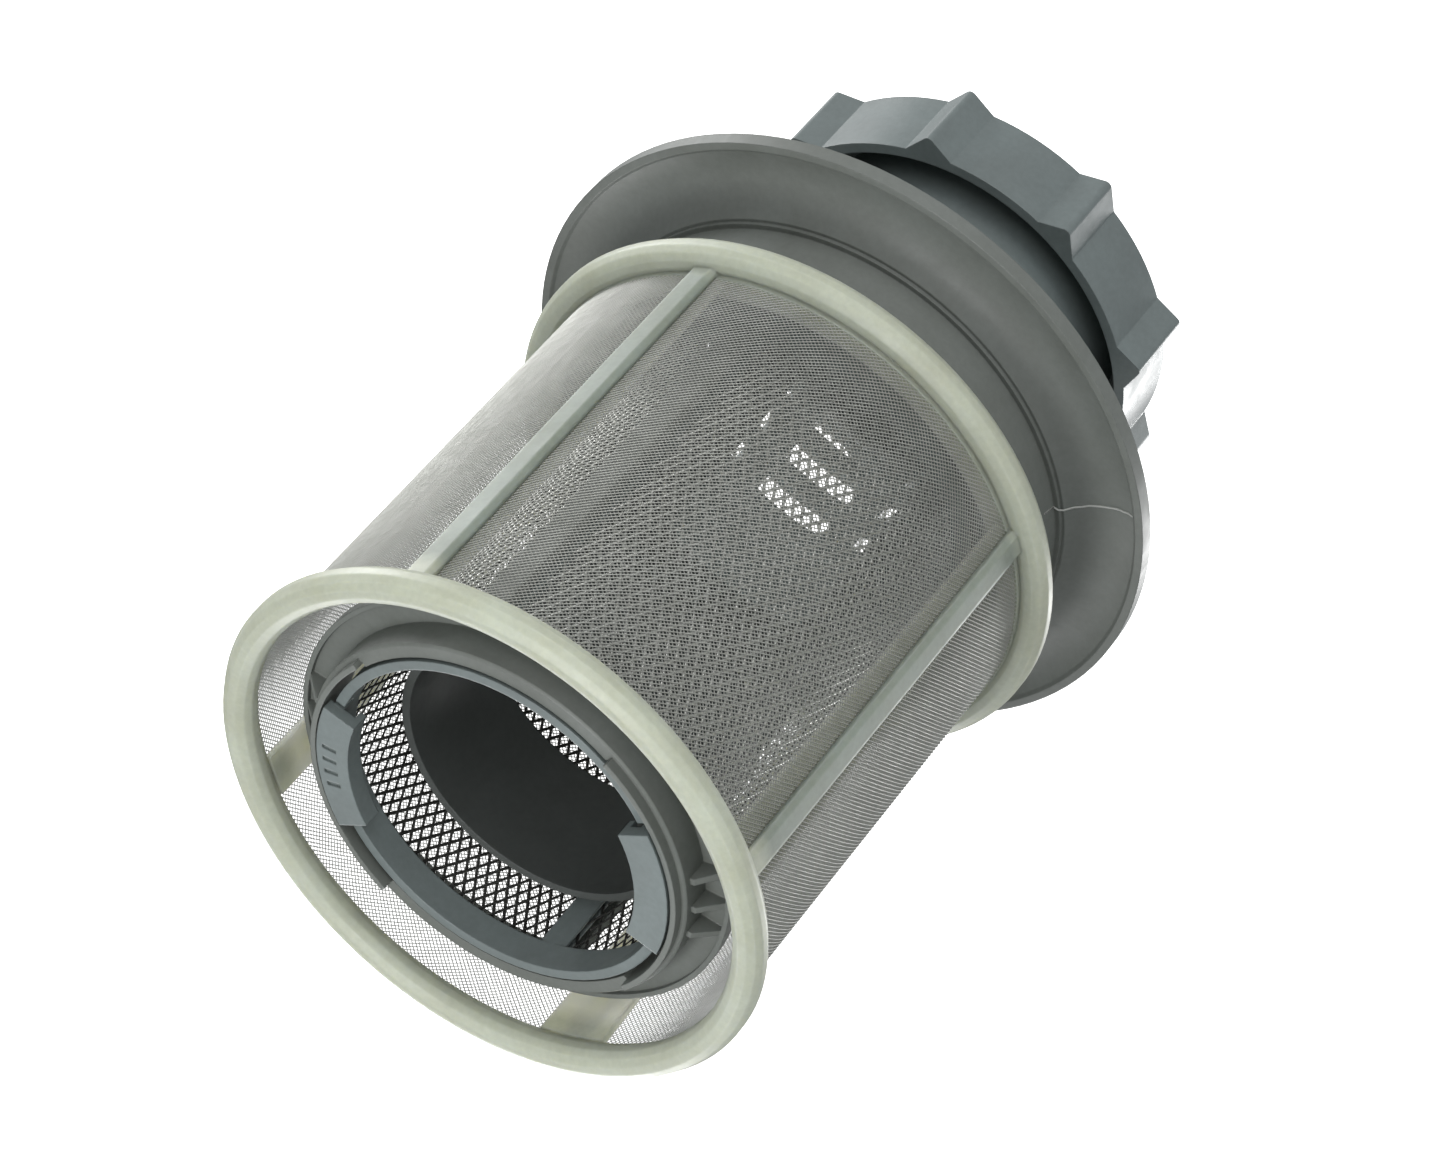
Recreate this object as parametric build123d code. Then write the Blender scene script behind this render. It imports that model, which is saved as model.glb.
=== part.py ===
from build123d import *
import math
import os

# Dishwasher filter: a cream micro filter cage, a warm grey carrier with a wide flange that
# seats in it, and a blue-grey knob insert with a diamond mesh that drops into the carrier.
# Millimetres, +Z up the axis, origin at the middle of the ring that stands on the floor.

# Micro filter cage: two round rings, a fine cloth between them, four ribs and a seating ledge
cloth_outside = 37.5
cloth_thickness = 0.4
bead = 2.2
bead_sides = 12
foot_ring_offset = 0.55
head_ring_offset = 1.4
head_ring_height = 74.5
foot_ring_flat = 0.25
cage_rib_angles = (45.0, 135.0, 225.0, 315.0)
broad_strip_angles = (45.0, 315.0)
cage_rib_half_width = 1.9
cage_rib_rise = 1.2
cage_rib_chamfer = 0.6
strip_thickness = 0.9
broad_strip_foot = 5.0
broad_strip_head = 3.3
slim_strip = 3.0
ledge_reach = 3.1
ledge_drop = 1.0
ledge_thickness = 1.6
cloth_columns = 5
cloth_rows = 4
cloth_bar = 1.3
thread_rise = 0.15
thread_width = 0.5

# Carrier: dished flange, stepped collar, hub, two posts, and the lip and plate at the foot
flange_radius = 47.4
flange_under = 88.6
flange_thickness = 2.7
flange_edge = 0.4
rim_band = 1.1
dish_depth = 0.9
step_overhang = 0.7
step_drop = 2.5
groove_drop = 1.9
collar_gap = 1.1
collar_wall = 1.8
web_drop = 1.3
hub_bore = 26.6
hub_wall = 1.8
hub_drop = 9.6
seat_depth = 1.3
post_angles = (49.0, 229.0)
post_half_width = 1.95
post_clear = 0.1
post_thickness = 1.3
lip_reach = 0.7
lip_face = 3.6
lip_chamfer = 0.3
rim_thickness = 0.8
rim_rise = 1.4
rim_half_angle = 47.0
plate_gap = 2.4
plate_under = 8.2
plate_thickness = 1.4
plate_bead = 0.7
gusset_angles = (-4.0, 6.0, 16.0)
gusset_half_width = 0.5
gusset_fall = 3.4
gusset_nose = 0.6

# Knob insert: ribbed knob, slotted neck, shoulder, mesh frame and two locking lugs
knob_radius = 30.8
knob_rib_rise = 3.1
knob_rib_count = 9
knob_rib_first = 199.5
knob_rib_half_angle = 8.3
knob_rib_fillet = 0.9
knob_height = 12.2
knob_cap = 2.3
knob_wall = 1.5
knob_dish_wall = 3.6
knob_dish_depth = 1.1
neck_height = 25.1
neck_step = 1.0
neck_wall = 1.6
slot_rows = 3
slot_first_row = 4.1
slot_pitch = 7.75
slot_height = 4.4
slot_half_angle = 14.0
slot_first = 84.5
shoulder_overhang = 3.0
shoulder_thickness = 1.8
shoulder_clear = 0.4
sleeve_clear = 1.0
sleeve_wall = 1.6
sleeve_foot = 76.5
band_step = 0.1
collar_foot = 3.4
collar_height = 4.4
lug_clear = 0.4
rim_clear = 0.3
lug_angle = 148.5
lug_half_angle = 23.5
lug_width = 4.8
lug_face = 2.0
lug_thickness = 1.7
lug_lip_width = 0.9
lug_lip_height = 2.9
grip_count = 4
grip_pitch = 5.0
grip_depth = 0.35
slit = 0.8
slit_gap = 1.0
root = 0.5

# Diamond mesh and inner tube
net_thickness = 0.6
net_columns = 7
net_rows = 4
net_strand = 1.3
net_grip = 0.5
net_rim = 0.6
tube_outside = 21.0
tube_wall = 1.2
tube_foot = 13.8
window_foot = 32.7
window_head = 109.0
tube_windows = ((82.5, 35.3), (262.5, 50.3), (172.5, 25.3), (352.5, 25.3))

# Sizes of the cage that follow from the cloth
cloth_inside = cloth_outside - cloth_thickness
foot_ring_radius = cloth_outside + foot_ring_offset
head_ring_radius = cloth_outside + head_ring_offset
cloth_foot = 2 * bead - foot_ring_flat
strip_inside = cloth_inside - strip_thickness
ledge_inside = cloth_outside - ledge_reach
ledge_top = head_ring_height - ledge_drop
cloth_head = ledge_top - ledge_thickness

# Sizes of the carrier that follow from the cage and the flange
flange_top = flange_under + flange_thickness
collar_radius = head_ring_radius - bead - collar_gap
step_radius = collar_radius + step_overhang
seat_height = flange_top - seat_depth
hub_foot = flange_under - hub_drop
hub_outside = hub_bore + hub_wall
shoulder_radius = hub_bore + shoulder_overhang
seat_bore = shoulder_radius + shoulder_clear
post_inside = hub_bore + post_clear
post_outside = post_inside + post_thickness
lip_inside = hub_bore - lip_reach
plate_radius = ledge_inside - plate_gap
plate_top = plate_under + plate_thickness

# Sizes of the insert, the mesh and the tube that follow from the hub and the seat
lug_outside = hub_bore - lug_clear
lug_inside = lug_outside - lug_width
rim_inside = lug_outside + rim_clear
sleeve_outside = hub_bore - sleeve_clear
sleeve_inside = sleeve_outside - sleeve_wall
band_inside = sleeve_inside + band_step
band_outside = sleeve_outside - band_step
neck_outside = sleeve_outside - neck_step
neck_inside = neck_outside - neck_wall
shoulder_top = seat_height + shoulder_thickness
knob_foot = seat_height + neck_height
knob_top = knob_foot + knob_height
knob_ceiling = knob_top - knob_cap
collar_top = collar_foot + collar_height
net_inside = (sleeve_inside + sleeve_outside - net_thickness) / 2
net_outside = net_inside + net_thickness
net_foot = collar_top - root
net_head = sleeve_foot + root
tube_inside = tube_outside - tube_wall

os.makedirs("parts", exist_ok=True)


def turned(points):
    """A full turn of a closed outline given as radius and height."""
    outline = make_face(Polyline(*[(r, 0, z) for r, z in points], close=True))
    return revolve(outline, Axis.Z, 360)


def ring(inside, outside, low, high):
    """A plain ring with square edges."""
    return turned([(inside, low), (outside, low), (outside, high), (inside, high)])


def sector(inside, outside, low, high, angle, half_angle):
    """Part of a ring, centred on an angle in degrees."""
    points = [(inside, 0, low), (outside, 0, low), (outside, 0, high), (inside, 0, high)]
    outline = make_face(Polyline(*points, close=True))
    piece = revolve(outline, Axis.Z, 2 * half_angle)
    return piece.rotate(Axis.Z, angle - half_angle)


def block(inside, outside, half_width, low, high, angle):
    """A straight block that reaches outward along an angle in degrees."""
    size = Box(outside - inside, 2 * half_width, high - low)
    piece = size.moved(Location(((inside + outside) / 2, 0, (low + high) / 2)))
    return piece.rotate(Axis.Z, angle)


def fin(points, half_width, angle):
    """A thin upright web cut from an outline of radius and height."""
    outline = make_face(Polyline(*[(r, -half_width, z) for r, z in points], close=True))
    return extrude(outline, 2 * half_width, dir=(0, 1, 0)).rotate(Axis.Z, angle)


def bead_ring(radius, height, flat):
    """A ring of round section, turned in narrow lands, with a flat of some depth on its top."""
    corner = bead / math.cos(math.pi / bead_sides)
    section = RegularPolygon(corner, bead_sides, rotation=180 / bead_sides)
    if flat > 0:
        section = section - Rectangle(2 * bead, 2 * flat).moved(Location((0, bead, 0)))
    section = section.rotate(Axis.X, 90).moved(Location((radius, 0, height)))
    return revolve(section, Axis.Z, 360)


def base_strip(foot_half, head_half, angle):
    """The flat strip behind one rib, broader at its foot than at its head."""
    low = cloth_foot - foot_ring_flat
    high = ledge_top - ledge_thickness / 2
    corners = [(-foot_half, low), (foot_half, low), (head_half, high), (-head_half, high)]
    outline = make_face(Polyline(*[(0, y, z) for y, z in corners], close=True))
    prism = extrude(outline, cloth_outside + bead, dir=(1, 0, 0))
    shell = ring(strip_inside, cloth_inside + cloth_thickness / 2, low, high)
    return (shell & prism).rotate(Axis.Z, angle)


def cage_rib(angle):
    """One raised rib on the outside of the cage, with its edges eased."""
    half = cage_rib_half_width
    inner = strip_inside + strip_thickness / 2
    outer = cloth_outside + cage_rib_rise
    ease = cage_rib_chamfer
    corners = [(inner, -half), (outer - ease, -half), (outer, ease - half)]
    corners = corners + [(x, -y) for x, y in reversed(corners)]
    outline = make_face(Polyline(*[(x, y, bead) for x, y in corners], close=True))
    return extrude(outline, head_ring_height - bead, dir=(0, 0, 1)).rotate(Axis.Z, angle)


def cloth_reach():
    """Half the angle that one field of cloth covers, with its edges held in the ribs."""
    held = cage_rib_half_width - cloth_thickness
    return 45.0 - math.degrees(held / cloth_outside)


def plain_cloth(angle):
    """One field of the fine cloth, without its raised threads."""
    return sector(cloth_inside, cloth_outside, cloth_foot, cloth_head, angle, cloth_reach())


def woven_cloth(angle):
    """One field of the fine cloth: a grid of gaps, with a raised thread between the columns."""
    inner = cloth_outside - cloth_thickness / 2
    outer = cloth_outside + thread_rise
    low = 2 * bead + cloth_bar
    tall = (cloth_head - cloth_bar - low) / cloth_rows
    reach = 45.0 - math.degrees((cage_rib_half_width + cloth_bar) / cloth_outside)
    wide = 2 * reach / cloth_columns
    thread = math.degrees(thread_width / 2 / cloth_outside)
    half_gap = wide / 2 - math.degrees(cloth_bar / 2 / cloth_outside)
    columns = [angle - reach + wide * number for number in range(cloth_columns)]
    rows = [low + tall * number for number in range(cloth_rows)]
    raised = [sector(inner, outer, low, low + tall * cloth_rows, turn, thread) for turn in columns[1:]]
    gaps = []
    for turn in columns:
        for height in rows:
            foot = height + cloth_bar / 2
            head = foot + tall - cloth_bar
            middle = turn + wide / 2
            gaps.append(sector(cloth_inside - root, cloth_outside + root, foot, head, middle, half_gap))
    return plain_cloth(angle) + raised - gaps


def cage_post(angle):
    """One rib with its base strip behind it, notched on each side where it grips the cloth."""
    if angle in broad_strip_angles:
        strip = base_strip(broad_strip_foot, broad_strip_head, angle)
    else:
        strip = base_strip(slim_strip, slim_strip, angle)
    return cage_rib(angle) + strip - [plain_cloth(angle - 45.0), plain_cloth(angle + 45.0)]


def cage():
    """The cream cage: two round rings, a seating ledge, and four ribs between them."""
    body = bead_ring(foot_ring_radius, bead, foot_ring_flat)
    body = body + bead_ring(head_ring_radius, head_ring_height, 0)
    body = body + ring(ledge_inside, cloth_outside, ledge_top - ledge_thickness, ledge_top)
    for angle in cage_rib_angles:
        body = body + cage_post(angle)
    return body


def flange_and_collar():
    """The dished flange, its step, the collar under it and the hub round the middle hole."""
    groove = flange_under - groove_drop
    band_start = flange_radius - rim_band
    dish_start = (band_start - dish_depth / 2, 0, flange_under + dish_depth / 2)
    dish_middle = ((band_start + step_radius) / 2, 0, flange_under + dish_depth)
    dish_end = (step_radius + flange_edge, 0, groove)
    dish = ThreePointArc(dish_start, dish_middle, dish_end)
    rest = [
        (step_radius, groove),
        (step_radius, flange_under - step_drop),
        (collar_radius, flange_under - step_drop),
        (collar_radius, ledge_top),
        (collar_radius - collar_wall, ledge_top),
        (collar_radius - collar_wall, flange_under - web_drop),
        (hub_outside, flange_under - web_drop),
        (hub_outside, hub_foot),
        (hub_bore, hub_foot),
        (hub_bore, seat_height),
        (seat_bore, seat_height),
        (seat_bore, flange_top),
        (flange_radius - flange_edge, flange_top),
        (flange_radius, flange_top - flange_edge),
        (flange_radius, flange_under),
        (band_start, flange_under),
    ]
    outline = Polyline(dish_end, *[(r, 0, z) for r, z in rest], dish_start)
    return revolve(make_face(dish + outline), Axis.Z, 360)


def lip_ring():
    """The lip at the foot of the carrier, its two raised rims and the plate round it."""
    bead_inside = plate_radius - plate_bead
    outline = [
        (lip_inside, lip_face),
        (post_outside - lip_chamfer, lip_face),
        (post_outside, lip_face + lip_chamfer),
        (post_outside, plate_under),
        (bead_inside, plate_under),
        (bead_inside, plate_under - plate_bead),
        (plate_radius, plate_under - plate_bead),
        (plate_radius, plate_top),
        (lip_inside, plate_top),
    ]
    body = turned(outline)
    rim_foot = lip_face - rim_rise
    for middle in (lug_angle, lug_angle + 180.0):
        rim = sector(
            rim_inside, rim_inside + rim_thickness, rim_foot, lip_face + root, middle, rim_half_angle
        )
        pocket = sector(
            lug_inside, rim_inside, rim_foot - root, plate_top + root, middle, rim_half_angle
        )
        body = body + rim - pocket
    return body


def gusset(angle):
    """One web that braces the lip against the plate."""
    inner = post_outside - root
    outer = plate_radius - plate_bead
    foot = plate_under - gusset_fall
    corners = [
        (inner, foot),
        (post_outside + gusset_nose, foot),
        (outer, plate_under - plate_bead),
        (outer, plate_under + plate_thickness / 2),
        (inner, plate_under + plate_thickness / 2),
    ]
    return fin(corners, gusset_half_width, angle)


def carrier():
    """The warm grey moulding: flange, collar, hub, two posts and the lip at the foot."""
    body = flange_and_collar() + lip_ring()
    for angle in post_angles:
        low = plate_top - root
        high = hub_foot + root
        body = body + block(post_inside, post_outside, post_half_width, low, high, angle)
    for side in (0.0, 180.0):
        for offset in gusset_angles:
            body = body + gusset(lug_angle + side + offset)
    return body


def knob_outline():
    """The plan of the knob: a circle with rounded V ribs round it."""
    half = math.radians(knob_rib_half_angle)
    foot = knob_radius - knob_wall / 2
    x = foot * math.cos(half)
    y = knob_radius * math.sin(half)
    tip = knob_radius + knob_rib_rise
    wedge = make_face(Polyline((0, 0), (x, -y), (tip, 0), (x, y), close=True))
    wedge = fillet(wedge.vertices().sort_by(Axis.X)[-1], knob_rib_fillet)
    turns = [knob_rib_first + 360.0 / knob_rib_count * count for count in range(knob_rib_count)]
    return Circle(knob_radius) + [wedge.rotate(Axis.Z, angle) for angle in turns]


def knob():
    """The ribbed knob, hollow underneath and closed by a dished top."""
    body = extrude(knob_outline(), knob_height).moved(Location((0, 0, knob_foot)))
    hollow = Cylinder(knob_radius - knob_wall, 2 * (knob_height - knob_cap))
    dish_radius = knob_radius - knob_dish_wall
    dish = Cone(dish_radius - knob_dish_depth, dish_radius + knob_dish_depth, 2 * knob_dish_depth)
    body = body - hollow.moved(Location((0, 0, knob_foot)))
    return body - dish.moved(Location((0, 0, knob_top)))


def neck():
    """The neck under the knob, with its rows of slots, and the shoulder it stands on."""
    body = ring(neck_inside, neck_outside, seat_height, knob_ceiling + root)
    body = body + ring(neck_inside, shoulder_radius, seat_height, shoulder_top)
    slots = []
    for row in range(slot_rows):
        low = seat_height + slot_first_row + slot_pitch * row - slot_height / 2
        high = low + slot_height
        for count in range(knob_rib_count):
            angle = slot_first + 360.0 / knob_rib_count * count
            inner = neck_inside - root
            slots.append(sector(inner, neck_outside + root, low, high, angle, slot_half_angle))
    return body - slots


def mesh_frame():
    """The frame that holds the diamond mesh: sleeve, two bands and the collar at the foot."""
    sleeve_head = seat_height - neck_wall
    body = ring(neck_inside, sleeve_outside, sleeve_head, seat_height)
    body = body + ring(sleeve_inside, sleeve_outside, sleeve_foot, sleeve_head)
    body = body + ring(band_inside, band_outside, collar_foot, collar_top)
    for angle in post_angles:
        low = collar_top - root
        high = sleeve_foot + root
        body = body + block(band_inside, band_outside - band_step, post_half_width, low, high, angle)
    return body


def lug(angle, grips):
    """One locking lug: a pad at the foot with a raised inner lip and grooves for a fingertip."""
    head = lug_face + lug_thickness
    pad = sector(lug_inside, lug_outside, lug_face, head, angle, lug_half_angle)
    lip_head = lug_face + lug_lip_height
    lip = sector(lug_inside, lug_inside + lug_lip_width, lug_face, lip_head, angle, lug_half_angle)
    body = pad + lip
    inner = lug_inside + 2 * lug_lip_width
    outer = lug_outside - lug_lip_width
    for count in range(grips):
        turn = angle + grip_pitch * (count - (grips - 1) / 2)
        low = lug_face - grip_depth
        high = lug_face + grip_depth
        body = body - block(inner, outer, grip_depth, low, high, turn)
    return body


def knob_insert(fields):
    """The blue-grey moulding: knob, slotted neck, mesh frame and locking lugs."""
    body = knob() + neck() + mesh_frame()
    for middle, grips in ((lug_angle, grip_count), (lug_angle + 180.0, 0)):
        body = body + lug(middle, grips)
        for side in (-1.0, 1.0):
            angle = middle + side * (lug_half_angle + slit_gap)
            high = collar_foot + collar_height / 2
            body = body - block(lug_inside, hub_bore, slit / 2, lug_face, high, angle)
    for field in fields:
        body = body - field
    return body


def plain_net(angle):
    """One half of the mesh wall, before its gaps are cut."""
    reach = 90.0 - math.degrees((post_half_width - net_grip) / net_outside)
    return sector(net_inside, net_outside, net_foot, net_head, angle, reach)


def diamond(column, row, angle):
    """The cutter for one gap of the diamond mesh; every second row is shifted half a gap."""
    reach = 90.0 - math.degrees((post_half_width + net_rim) / net_outside)
    wide = 2 * reach / (net_columns + 0.5)
    tall = (sleeve_foot - collar_top - net_rim) / (net_rows + 1) * 2
    shift = 0.5 if row % 2 else 0.0
    turn = angle - reach + wide * (column + 0.5 + shift)
    level = collar_top + net_rim / 2 + tall / 2 * (row + 1)
    half_wide = math.radians(wide) * net_outside / 2 - net_strand / 2
    half_tall = tall / 2 - net_strand
    corners = [(-half_wide, level), (0, level - half_tall), (half_wide, level), (0, level + half_tall)]
    outline = make_face(Polyline(*[(0, y, z) for y, z in corners], close=True))
    return extrude(outline, hub_bore, dir=(1, 0, 0)).rotate(Axis.Z, turn)


def net_panel(angle):
    """One half of the diamond mesh, from band to band, with its gaps."""
    cells = [(column, row) for row in range(net_rows) for column in range(net_columns)]
    return plain_net(angle) - [diamond(column, row, angle) for column, row in cells]


def inner_tube():
    """The plain tube inside the mesh, with four tall windows."""
    body = ring(tube_inside, tube_outside, tube_foot, knob_ceiling)
    inner = tube_inside - root
    outer = tube_outside + root
    for middle, half_angle in tube_windows:
        body = body - sector(inner, outer, window_foot, window_head, middle, half_angle)
    return body


cloth_angles = [angle - 45.0 for angle in cage_rib_angles]
net_angles = [angle + 90.0 for angle in post_angles]

export_step(cage(), "parts/filter_cage.step")
for number, angle in enumerate(cloth_angles):
    export_step(woven_cloth(angle), f"parts/fine_cloth_{number + 1}.step")
export_step(carrier(), "parts/carrier.step")
export_step(knob_insert([plain_net(angle) for angle in net_angles]), "parts/knob_insert.step")
for number, angle in enumerate(net_angles):
    export_step(net_panel(angle), f"parts/diamond_mesh_{number + 1}.step")
export_step(inner_tube(), "parts/inner_tube.step")
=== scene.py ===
import bpy
import math
import random
from mathutils import Matrix, Vector


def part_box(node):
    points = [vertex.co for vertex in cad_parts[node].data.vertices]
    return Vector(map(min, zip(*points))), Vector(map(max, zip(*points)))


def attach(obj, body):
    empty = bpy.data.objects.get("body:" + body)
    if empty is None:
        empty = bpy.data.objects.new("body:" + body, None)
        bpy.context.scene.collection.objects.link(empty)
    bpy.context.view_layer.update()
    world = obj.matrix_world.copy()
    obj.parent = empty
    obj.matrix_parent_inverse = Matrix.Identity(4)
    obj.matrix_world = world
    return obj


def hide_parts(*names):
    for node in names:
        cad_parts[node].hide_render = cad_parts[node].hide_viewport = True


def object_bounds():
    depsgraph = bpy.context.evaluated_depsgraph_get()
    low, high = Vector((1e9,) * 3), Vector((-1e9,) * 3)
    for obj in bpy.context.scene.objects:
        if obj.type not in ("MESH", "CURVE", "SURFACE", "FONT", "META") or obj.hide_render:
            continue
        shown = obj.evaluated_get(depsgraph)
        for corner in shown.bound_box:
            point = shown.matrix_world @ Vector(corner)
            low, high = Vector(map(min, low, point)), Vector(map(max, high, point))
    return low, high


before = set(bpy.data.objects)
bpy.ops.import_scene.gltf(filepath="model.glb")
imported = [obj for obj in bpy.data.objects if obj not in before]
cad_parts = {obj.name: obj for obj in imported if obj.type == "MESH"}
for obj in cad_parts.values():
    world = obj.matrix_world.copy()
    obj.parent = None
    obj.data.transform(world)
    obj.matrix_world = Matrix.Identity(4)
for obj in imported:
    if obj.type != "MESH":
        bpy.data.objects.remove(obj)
cad_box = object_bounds()

MM = 0.001
chance = random.Random(7)
cad_middle = (Vector(cad_box[0]) + Vector(cad_box[1])) / 2

# Camera: the photograph looks up at the open foot of the filter, with the axis leaning right
CAMERA_PLACE = Vector((1.2, -492.5, -336.6)) * MM
VIEW_FORWARD = Vector((0.0, 0.78098, 0.62456))
VIEW_RIGHT = Vector((0.75276, -0.41115, 0.51412))
VIEW_UP = VIEW_RIGHT.cross(VIEW_FORWARD)
SENSOR_MM = 36.0
LENS_MM = 118.3
NEAREST = 0.01

# Fine cloth: two families of wires laid on the bias, this steep against the hoop direction
CLOTH_PITCH = 0.49 * MM
CLOTH_WIRE = 0.088 * MM
CLOTH_BIAS = math.radians(42.0)
CLOTH_THICK = 0.4 * MM
CLOTH_OUTSIDE = 37.5 * MM
CLOTH_STEP = 2.6 * MM
CLOTH_UNEVEN = 0.04  # share of the pitch by which a wire may stray
CLOTH_FIELDS = (1, 2, 3, 4)

# Diamond mesh: strands that lean this far from the axis, in two halves that face these ways
MESH_OUTSIDE = 25.1 * MM
MESH_REACH = math.radians(88.0)
MESH_MIDDLES = (math.radians(139.0), math.radians(319.0))
CELLS_ROUND = 97
STRAND_LEAN = math.radians(27.5)
STRAND_WIDE = 0.225 * MM
STRAND_DEEP = 0.13 * MM
STRAND_STEP = 5.0 * MM
STRAND_SHIFT = 0.8  # share of a strand's depth by which it lies off the middle of the wall

# Ribs of the cage, as the mask of their painted shade finds them; painted light also brightens the
# strips inside the cloth
RIB_INSIDE = 37.0 * MM
RIB_FOOT = 6.0 * MM
RIB_HEAD = 73.0 * MM
RIB_FADE = 3.0 * MM
RIB_BLEND = 0.4 * MM
# Painted shade: greys the ribs outside the cloth, standing in for the look of their thin, translucent
# plastic
RIB_PAINTED_SHADE = (0.56, 0.60, 0.63)
# Painted light: brightens the strips inside the cloth, standing in for the back light that shines
# through them
STRIP_PAINTED_LIGHT = (0.45, 0.45, 0.36)

# Moulded plastic: sizes of its clouds, specks, streaks, waves and grain, and its worn edges
CLOUD_SIZE = 14.0 * MM
SPECK_SIZE = 0.9 * MM
STREAK_SIZE = 5.0 * MM
WAVE_SIZE = 6.0 * MM
WAVE_DEPTH = 0.25 * MM
WAVE_STRENGTH = 0.25
GRAIN_SIZE = 0.22 * MM
GRAIN_DEPTH = 0.04 * MM
GRAIN_STRENGTH = 0.2
SOFT_GRAIN = 0.1
# Painted shade: ambient occlusion darkens corners and gaps towards this tone, over this reach and by
# this share
PAINTED_SHADE_TONE = (0.72, 0.72, 0.69)
PAINTED_SHADE_REACH = 2.2 * MM
PAINTED_SHADE_SHARE = 0.55
EDGE_SAMPLES = 6
ROUND_EDGE = 0.28 * MM
SOFT_EDGE = 0.6 * MM
GLOW_REACH = 4.0 * MM
GLOW_COLOUR = (1.0, 0.95, 0.75)

# Wire: sizes of its clouds, shine and pits
WIRE_CLOUD = 6.0 * MM
WIRE_SHINE = 1.5 * MM
PIT_SIZE = 0.15 * MM
PIT_DEPTH = 0.02 * MM
PIT_STRENGTH = 0.3

# Parting line of the carrier's mould, and the underside of the flange that it crosses
PART_ANGLE = math.radians(323.4)
PART_JOG = math.radians(1.1)
PART_WIDE = 0.18 * MM
PART_RISE = 0.16 * MM
PART_STEP = 0.82 * MM
PART_UNEVEN = 0.12  # share of the jog by which the line strays
PART_CLIMB = 2.5 * MM
COLLAR_RADIUS = 35.6 * MM
COLLAR_FACE = 86.1 * MM
STEP_RADIUS = 36.3 * MM
DISH_START = STEP_RADIUS + 0.4 * MM
DISH_FIRST = STEP_RADIUS + 1.4 * MM
DISH_RIM = 45.85 * MM
DISH_MIDDLE = 42.836 * MM
DISH_CENTRE = 81.799 * MM
DISH_ARC = 7.853 * MM

# Floor and world: the camera sees a brighter white than the one that lights the filter
FLOOR_HALF = 3.0
FLOOR_DROP = 0.1 * MM
FLOOR_WHITE = (0.86, 0.86, 0.86, 1.0)
SEEN_STRENGTH = 1.9
LIGHT_STRENGTH = 0.35
LIGHT_WHITE = (0.95, 0.98, 1.0, 1.0)

# Sockets of the Mix node that carry colours
MIX_FIRST = 6
MIX_SECOND = 7
MIX_RESULT = 2


def node_tree(owner):
    """The nodes and links of a material or world that starts empty."""
    owner.use_nodes = True
    owner.node_tree.nodes.clear()
    return owner.node_tree.nodes, owner.node_tree.links


def noise(nodes, links, coords, size, detail, distortion=0.0):
    """A noise texture whose features are about as large as a size in metres."""
    texture = nodes.new("ShaderNodeTexNoise")
    texture.inputs["Scale"].default_value = 1.0 / size
    texture.inputs["Detail"].default_value = detail
    texture.inputs["Roughness"].default_value = 0.6
    texture.inputs["Distortion"].default_value = distortion
    links.new(coords, texture.inputs["Vector"])
    return texture.outputs["Fac"]


def ramp(nodes, links, source, low, high, colour_low, colour_high):
    """Maps a value between two stops to two colours."""
    stops = nodes.new("ShaderNodeValToRGB")
    stops.color_ramp.elements[0].position = low
    stops.color_ramp.elements[1].position = high
    stops.color_ramp.elements[0].color = (*colour_low, 1.0)
    stops.color_ramp.elements[1].color = (*colour_high, 1.0)
    links.new(source, stops.inputs["Fac"])
    return stops.outputs["Color"]


def mixed(nodes, links, kind, factor, first, second):
    """Mixes two colours; the factor is a number or a socket, the second colour a tuple or a socket."""
    mix = nodes.new("ShaderNodeMix")
    mix.data_type = "RGBA"
    mix.blend_type = kind
    if isinstance(factor, float):
        mix.inputs["Factor"].default_value = factor
    else:
        links.new(factor, mix.inputs["Factor"])
    links.new(first, mix.inputs[MIX_FIRST])
    if isinstance(second, tuple):
        mix.inputs[MIX_SECOND].default_value = (*second, 1.0)
    else:
        links.new(second, mix.inputs[MIX_SECOND])
    return mix.outputs[MIX_RESULT]


def bump(nodes, links, height, strength, depth, normal=None):
    """Bends the surface by a height, on top of the normal given."""
    bend = nodes.new("ShaderNodeBump")
    bend.inputs["Strength"].default_value = strength
    bend.inputs["Distance"].default_value = depth
    links.new(height, bend.inputs["Height"])
    if normal is not None:
        links.new(normal, bend.inputs["Normal"])
    return bend.outputs["Normal"]


def scaled(colour, share):
    return tuple(min(1.0, part * share) for part in colour)


def grey(tone):
    return (tone, tone, tone)


def within(nodes, links, source, start, end):
    """A mask that rises from 0 at the start to 1 at the end of a range."""
    share = nodes.new("ShaderNodeMapRange")
    share.inputs["From Min"].default_value = start
    share.inputs["From Max"].default_value = end
    links.new(source, share.inputs["Value"])
    return share.outputs["Result"]


def both(nodes, links, first, second):
    """The product of two masks."""
    product = nodes.new("ShaderNodeMath")
    product.operation = "MULTIPLY"
    links.new(first, product.inputs[0])
    links.new(second, product.inputs[1])
    return product.outputs["Value"]


def height_and_radius(nodes, links, coords):
    """The height of a point and its distance from the axis."""
    split = nodes.new("ShaderNodeSeparateXYZ")
    links.new(coords, split.inputs[0])
    flat = nodes.new("ShaderNodeVectorMath")
    flat.operation = "MULTIPLY"
    flat.inputs[1].default_value = (1.0, 1.0, 0.0)
    links.new(coords, flat.inputs[0])
    length = nodes.new("ShaderNodeVectorMath")
    length.operation = "LENGTH"
    links.new(flat.outputs[0], length.inputs[0])
    return split.outputs["Z"], length.outputs["Value"]


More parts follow.
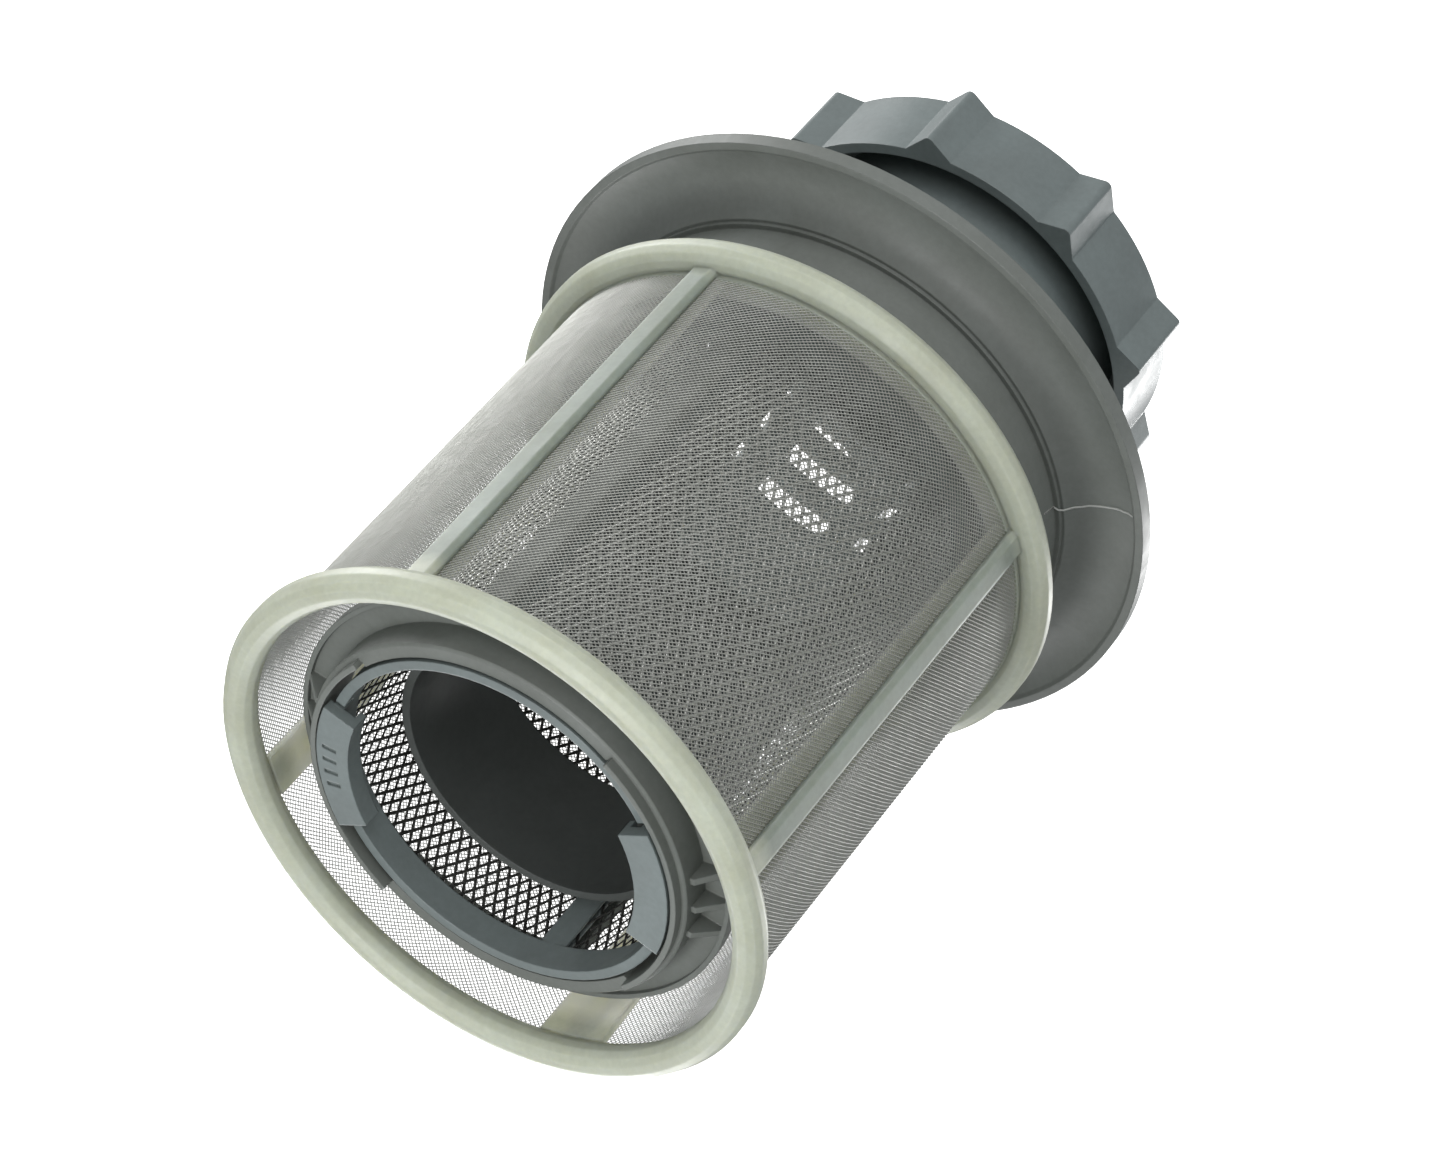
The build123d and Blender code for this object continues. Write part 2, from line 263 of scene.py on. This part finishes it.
def paint_light_on_thin_parts(nodes, links, coords, base):
    """Paints light and shade on the cage where it is thin: painted shade greys the ribs outside the
    cloth, painted light brightens the strips inside it.
    """
    height, radius = height_and_radius(nodes, links, coords)
    above = within(nodes, links, height, RIB_FOOT, RIB_FOOT + RIB_FADE)
    below = within(nodes, links, height, RIB_HEAD, RIB_HEAD - RIB_FADE)
    tall = both(nodes, links, above, below)
    outer = within(nodes, links, radius, RIB_INSIDE, RIB_INSIDE + RIB_BLEND)
    inner = within(nodes, links, radius, RIB_INSIDE + RIB_BLEND / 2, RIB_INSIDE - RIB_BLEND / 2)
    base = mixed(nodes, links, "MULTIPLY", both(nodes, links, tall, outer), base, RIB_PAINTED_SHADE)
    return mixed(nodes, links, "SCREEN", both(nodes, links, tall, inner), base, STRIP_PAINTED_LIGHT)


def blank_shader(name):
    """A material with one principled shader, and the coordinates that its textures use."""
    material = bpy.data.materials.new(name)
    nodes, links = node_tree(material)
    output = nodes.new("ShaderNodeOutputMaterial")
    shader = nodes.new("ShaderNodeBsdfPrincipled")
    links.new(shader.outputs["BSDF"], output.inputs["Surface"])
    coords = nodes.new("ShaderNodeTexCoord").outputs["Object"]
    return material, nodes, links, shader, coords


def plastic_colour(nodes, links, coords, colour, tint, thin):
    """A cloudy, finely speckled colour with painted shade darkening the corners."""
    cloud = noise(nodes, links, coords, CLOUD_SIZE, 3.0, 0.4)
    base = ramp(nodes, links, cloud, 0.3, 0.7, scaled(colour, 0.94), scaled(tint, 1.05))
    speck = noise(nodes, links, coords, SPECK_SIZE, 4.0)
    speckled = ramp(nodes, links, speck, 0.35, 0.75, grey(0.93), grey(1.04))
    base = mixed(nodes, links, "MULTIPLY", 1.0, base, speckled)
    if thin:
        base = paint_light_on_thin_parts(nodes, links, coords, base)

    # Painted shade: ambient occlusion darkens the colour in corners, creases and gaps between parts
    corner = nodes.new("ShaderNodeAmbientOcclusion")
    corner.samples = EDGE_SAMPLES
    corner.inputs["Distance"].default_value = PAINTED_SHADE_REACH
    painted_corner_shade = ramp(nodes, links, corner.outputs["AO"], 0.35, 0.95, PAINTED_SHADE_TONE, grey(1.0))
    return mixed(nodes, links, "MULTIPLY", PAINTED_SHADE_SHARE, base, painted_corner_shade)


def plastic_surface(nodes, links, coords, grain, edge):
    """Worn, rounded edges with slight waves and a fine grain over them."""
    bevel = nodes.new("ShaderNodeBevel")
    bevel.samples = EDGE_SAMPLES
    bevel.inputs["Radius"].default_value = edge
    wave = noise(nodes, links, coords, WAVE_SIZE, 2.0)
    wavy = bump(nodes, links, wave, WAVE_STRENGTH, WAVE_DEPTH, bevel.outputs["Normal"])
    fine = noise(nodes, links, coords, GRAIN_SIZE, 3.0)
    return bump(nodes, links, fine, grain, GRAIN_DEPTH, wavy)


def moulded(name, colour, tint, rough, grain=GRAIN_STRENGTH, edge=ROUND_EDGE, thin=False):
    """Moulded plastic with painted shade in its corners; a thin moulding lets some light through, with
    painted shade on its ribs and painted light on its strips.
    """
    material, nodes, links, shader, coords = blank_shader(name)
    base = plastic_colour(nodes, links, coords, colour, tint, thin)
    links.new(base, shader.inputs["Base Color"])
    streak = noise(nodes, links, coords, STREAK_SIZE, 5.0, 1.0)
    gloss = ramp(nodes, links, streak, 0.25, 0.8, grey(rough - 0.06), grey(rough + 0.1))
    links.new(gloss, shader.inputs["Roughness"])
    links.new(plastic_surface(nodes, links, coords, grain, edge), shader.inputs["Normal"])
    if thin:
        shader.inputs["Subsurface Weight"].default_value = 1.0
        shader.inputs["Subsurface Radius"].default_value = GLOW_COLOUR
        shader.inputs["Subsurface Scale"].default_value = GLOW_REACH
    return material


def wire_metal(name, colour, tint, rough, metal):
    """Drawn wire: slightly varied tone and gloss from strand to strand."""
    material, nodes, links, shader, coords = blank_shader(name)
    cloud = noise(nodes, links, coords, WIRE_CLOUD, 4.0, 0.5)
    links.new(ramp(nodes, links, cloud, 0.3, 0.7, colour, tint), shader.inputs["Base Color"])
    shine = noise(nodes, links, coords, WIRE_SHINE, 3.0)
    gloss = ramp(nodes, links, shine, 0.3, 0.7, grey(rough - 0.08), grey(rough + 0.12))
    links.new(gloss, shader.inputs["Roughness"])
    shader.inputs["Metallic"].default_value = metal
    pits = noise(nodes, links, coords, PIT_SIZE, 2.0)
    links.new(bump(nodes, links, pits, PIT_STRENGTH, PIT_DEPTH), shader.inputs["Normal"])
    return material


def dress(node, material):
    """Gives a carried-over solid its material."""
    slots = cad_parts[node].data.materials
    slots.clear()
    slots.append(material)


def piece(name, vertices, faces, material, body):
    """A smooth-shaded mesh piece that rides on a body."""
    mesh = bpy.data.meshes.new(name)
    mesh.from_pydata(vertices, [], faces)
    mesh.polygons.foreach_set("use_smooth", [True] * len(faces))
    mesh.materials.append(material)
    obj = bpy.data.objects.new(name, mesh)
    bpy.context.scene.collection.objects.link(obj)
    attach(obj, body)
    return obj


def polar(radius, angle, height):
    return Vector((radius * math.cos(angle), radius * math.sin(angle), height))


def spaced(first, last, longest):
    """Even steps from first to last, none of them longer than the longest."""
    steps = math.ceil((last - first) / longest)
    return [first + (last - first) * step / steps for step in range(steps + 1)]


def on_strand(level, angle, height, slope, sense):
    """A point of a strand that climbs round the axis, the way across it and the way out."""
    away = polar(1, angle, 0)
    tangent = polar(sense * math.cos(slope), angle + math.pi / 2, math.sin(slope))
    return polar(level, angle, height), away.cross(tangent), away


def add_strand(vertices, faces, path, across, out):
    """Adds one four-sided strand along a path; across and out are its half sizes.

    The path holds a point, the direction across the strand and the direction out of the wall.
    """
    start = len(vertices)
    for point, side, away in path:
        vertices.append(point + side * across)
        vertices.append(point + away * out)
        vertices.append(point - side * across)
        vertices.append(point - away * out)
    for step in range(len(path) - 1):
        foot = start + 4 * step
        for corner in range(4):
            turn = (corner + 1) % 4
            faces.append((foot + corner, foot + turn, foot + 4 + turn, foot + 4 + corner))


def inside_out(obj, material):
    """Gives a second material to the last two of each strand's four sides, which face the axis:
    painted light on the cloth's wires, painted shade on the mesh's strands.
    """
    obj.data.materials.append(material)
    inward = [1 if number % 4 in (2, 3) else 0 for number in range(len(obj.data.polygons))]
    obj.data.polygons.foreach_set("material_index", inward)


def half_width(low, high):
    """Half the width of a cloth field along its curve, from the corners of its box."""
    far = max(abs(v) for v in (low.x, low.y, high.x, high.y))
    near = far - min(abs(high.x - low.x), abs(high.y - low.y))
    return (CLOTH_OUTSIDE - CLOTH_THICK / 2) * math.acos(near / (CLOTH_OUTSIDE - CLOTH_THICK))


def fine_cloth(node, materials):
    """The woven cloth of one field: wires on the bias both ways, in place of its solid, with painted
    light on their sides that face the axis.
    """
    low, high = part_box(node)
    middle = math.atan2(low.y + high.y, low.x + high.x)
    radius = CLOTH_OUTSIDE - CLOTH_THICK / 2
    half = half_width(low, high)
    run = (high.z - low.z) / math.tan(CLOTH_BIAS)
    spacing = CLOTH_PITCH / math.sin(CLOTH_BIAS)
    count = math.floor((2 * half + run) / spacing)
    vertices = []
    faces = []
    for sense in (-1, 1):
        level = radius + sense * CLOTH_WIRE
        for number in range(1, count):
            uneven = chance.uniform(-CLOTH_UNEVEN, CLOTH_UNEVEN)
            start = -half - run + (number + uneven) * spacing
            first = max(start, -half)
            last = min(start + run, half)
            path = []
            for along in spaced(first, last, CLOTH_STEP):
                height = low.z + (along - start) * math.tan(CLOTH_BIAS)
                angle = middle + sense * along / radius
                path.append(on_strand(level, angle, height, CLOTH_BIAS, sense))
            add_strand(vertices, faces, path, CLOTH_WIRE, CLOTH_WIRE)
    weave = piece(node + "_weave", vertices, faces, materials[0], "micro_filter")
    # Painted light: the wires' sides that face the axis get the lighter inner material
    inside_out(weave, materials[1])
    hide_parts(node)


def diamond_mesh(node, middle, materials):
    """The mesh of one half: two families of strands that lean opposite ways, with painted shade on
    their sides that face the axis.
    """
    low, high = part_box(node)
    radius = MESH_OUTSIDE - STRAND_DEEP
    climb = math.tan(STRAND_LEAN) / radius
    slope = math.pi / 2 - STRAND_LEAN
    vertices = []
    faces = []
    for sense in (-1, 1):
        level = radius + sense * STRAND_DEEP * STRAND_SHIFT
        for number in range(CELLS_ROUND):
            begin = math.tau * number / CELLS_ROUND
            path = []
            for height in spaced(low.z, high.z, STRAND_STEP):
                angle = begin + sense * climb * (height - low.z)
                offset = (angle - middle + math.pi) % math.tau - math.pi
                if abs(offset) <= MESH_REACH:
                    path.append(on_strand(level, angle, height, slope, sense))
            if len(path) > 1:
                add_strand(vertices, faces, path, STRAND_WIDE, STRAND_DEEP)
    net = piece(node + "_strands", vertices, faces, materials[0], "insert")
    # Painted shade: the strands' sides that face the axis get the dark inner material
    inside_out(net, materials[1])
    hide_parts(node)


def dish_height(radius):
    """The height of the flange's underside at a radius, as the arc of its dish gives it."""
    return DISH_CENTRE + math.sqrt(DISH_ARC ** 2 - (radius - DISH_MIDDLE) ** 2)


def parting_line(material):
    """The fine raised line that the mould left across the underside of the flange."""
    places = [
        (COLLAR_RADIUS, PART_ANGLE - 2 * PART_JOG, COLLAR_FACE - PART_CLIMB),
        (COLLAR_RADIUS, PART_ANGLE - PART_JOG, COLLAR_FACE),
        (STEP_RADIUS, PART_ANGLE - PART_JOG / 2, COLLAR_FACE),
        (DISH_START, PART_ANGLE, dish_height(DISH_START)),
    ]
    for radius in spaced(DISH_FIRST, DISH_RIM, PART_STEP):
        uneven = PART_JOG * chance.uniform(-PART_UNEVEN, PART_UNEVEN)
        places.append((radius, PART_ANGLE + uneven, dish_height(radius)))
    vertices = []
    faces = []
    path = []
    down = Vector((0, 0, -1))
    for radius, angle, height in places:
        path.append((polar(radius, angle, height), polar(1, angle + math.pi / 2, 0), down))
    add_strand(vertices, faces, path, PART_WIDE, PART_RISE)
    piece("parting_line", vertices, faces, material, "carrier_body")


def softbox(name, right, up, toward, size, power):
    """An area light placed by the camera's own axes, aimed at the middle of the filter."""
    place = cad_middle + VIEW_RIGHT * right + VIEW_UP * up - VIEW_FORWARD * toward
    light = bpy.data.lights.new(name, "AREA")
    light.shape = "RECTANGLE"
    light.size = size
    light.size_y = size
    light.energy = power
    lamp = bpy.data.objects.new(name, light)
    lamp.location = place
    lamp.rotation_euler = (cad_middle - place).to_track_quat("-Z", "Y").to_euler()
    bpy.context.scene.collection.objects.link(lamp)


def floor_white():
    """White that is clear from below, where the photograph looks from."""
    material = bpy.data.materials.new("pale_floor")
    nodes, links = node_tree(material)
    output = nodes.new("ShaderNodeOutputMaterial")
    shader = nodes.new("ShaderNodeBsdfPrincipled")
    shader.inputs["Base Color"].default_value = FLOOR_WHITE
    shader.inputs["Roughness"].default_value = 0.7
    clear = nodes.new("ShaderNodeBsdfTransparent")
    facing = nodes.new("ShaderNodeNewGeometry").outputs["Backfacing"]
    mix = nodes.new("ShaderNodeMixShader")
    links.new(facing, mix.inputs[0])
    links.new(shader.outputs["BSDF"], mix.inputs[1])
    links.new(clear.outputs["BSDF"], mix.inputs[2])
    links.new(mix.outputs["Shader"], output.inputs["Surface"])
    return material


def pale_floor():
    """The floor just under the foot ring; it changes neither the light nor the shadows."""
    sides = ((-1, -1), (1, -1), (1, 1), (-1, 1))
    corners = [(x * FLOOR_HALF, y * FLOOR_HALF, -FLOOR_DROP) for x, y in sides]
    mesh = bpy.data.meshes.new("floor")
    mesh.from_pydata(corners, [], [(0, 1, 2, 3)])
    mesh.materials.append(floor_white())
    floor = bpy.data.objects.new("floor", mesh)
    floor.visible_shadow = False
    floor.visible_diffuse = False
    floor.visible_glossy = False
    floor.visible_transmission = False
    bpy.context.scene.collection.objects.link(floor)


def studio_world():
    """White behind the object, and a softer even light on it."""
    world = bpy.data.worlds.new("studio")
    bpy.context.scene.world = world
    nodes, links = node_tree(world)
    output = nodes.new("ShaderNodeOutputWorld")
    seen = nodes.new("ShaderNodeBackground")
    seen.inputs["Color"].default_value = (1.0, 1.0, 1.0, 1.0)
    seen.inputs["Strength"].default_value = SEEN_STRENGTH
    light = nodes.new("ShaderNodeBackground")
    light.inputs["Color"].default_value = LIGHT_WHITE
    light.inputs["Strength"].default_value = LIGHT_STRENGTH
    mix = nodes.new("ShaderNodeMixShader")
    links.new(nodes.new("ShaderNodeLightPath").outputs["Is Camera Ray"], mix.inputs[0])
    links.new(light.outputs["Background"], mix.inputs[1])
    links.new(seen.outputs["Background"], mix.inputs[2])
    links.new(mix.outputs["Shader"], output.inputs["Surface"])


def camera():
    """The camera of the photograph."""
    lens = bpy.data.cameras.new("camera")
    lens.sensor_width = SENSOR_MM
    lens.lens = LENS_MM
    lens.clip_start = NEAREST
    eye = bpy.data.objects.new("camera", lens)
    turn = Matrix((VIEW_RIGHT, VIEW_UP, -VIEW_FORWARD)).transposed()
    eye.matrix_world = Matrix.Translation(CAMERA_PLACE) @ turn.to_4x4()
    bpy.context.scene.collection.objects.link(eye)
    bpy.context.scene.camera = eye


# Each plastic's name, its two tones and its roughness
# The cream cage also gets painted shade on its ribs and painted light on its strips
cream = moulded(
    "cream_plastic", (0.44, 0.46, 0.372), (0.44, 0.47, 0.397), 0.42, SOFT_GRAIN, SOFT_EDGE, thin=True)
warm_grey = moulded("warm_grey_plastic", (0.15, 0.161, 0.147), (0.16, 0.173, 0.161), 0.44)
blue_grey = moulded("blue_grey_plastic", (0.162, 0.188, 0.186), (0.172, 0.203, 0.202), 0.38)
# The inner tube's dark grey is partly its own tone, partly painted shade for its unlit inside
dark_grey_and_painted_shade = moulded("dark_grey_plastic", (0.06, 0.066, 0.062), (0.066, 0.073, 0.07), 0.5)
# Painted highlight: the parting line is lighter than the flange it is moulded in
highlight_seam = moulded("seam_painted_highlight", (0.42, 0.43, 0.41), (0.46, 0.47, 0.45), 0.45)

# Each wire's name, its two tones, its roughness and how much of it is metal
cloth_outer = wire_metal("fine_cloth_outer", (0.36, 0.365, 0.335), (0.43, 0.435, 0.405), 0.42, 0.35)
# Painted light: the cloth wires' inner sides are lighter, standing in for back light that shines
# through the cloth
cloth_inner_painted_light = wire_metal("fine_cloth_inner_painted_light", (0.70, 0.71, 0.69), (0.78, 0.79, 0.77), 0.5, 0.1)
mesh_outer = wire_metal("diamond_mesh_outer", (0.6, 0.6, 0.57), (0.75, 0.75, 0.72), 0.28, 0.75)
# Painted shade: the mesh strands' inner sides are dark, standing in for the shade inside the filter
mesh_inner_painted_shade = wire_metal("diamond_mesh_inner_painted_shade", (0.05, 0.05, 0.047), (0.09, 0.09, 0.085), 0.4, 0.6)

dress("filter_cage", cream)
dress("carrier", warm_grey)
dress("knob_insert", blue_grey)
dress("inner_tube", dark_grey_and_painted_shade)
for number in CLOTH_FIELDS:
    fine_cloth(f"fine_cloth_{number}", (cloth_outer, cloth_inner_painted_light))
for number, middle in enumerate(MESH_MIDDLES, 1):
    diamond_mesh(f"diamond_mesh_{number}", middle, (mesh_outer, mesh_inner_painted_shade))
parting_line(highlight_seam)

pale_floor()
studio_world()
# Each light's name, its place to the right, up and toward the camera, its size and its power
softbox("key", -0.5, 0.75, -0.4, 0.45, 6.3)
softbox("top", 0.12, 0.8, 0.6, 0.5, 3.4)
softbox("side", 0.68, -0.2, -0.7, 0.25, 3.2)
softbox("low", 0.55, -0.45, 0.6, 0.3, 0.35)
softbox("front", -0.25, -0.25, 0.42, 0.25, 1.9)
softbox("near", 0.1, 0.3, 0.95, 0.5, 2.1)
softbox("fill", 0.62, 0.12, 0.6, 0.3, 0.7)
softbox("back", -0.3, -0.7, -0.8, 0.6, 7.8)
camera()

view = bpy.context.scene.view_settings
view.view_transform = "Standard"
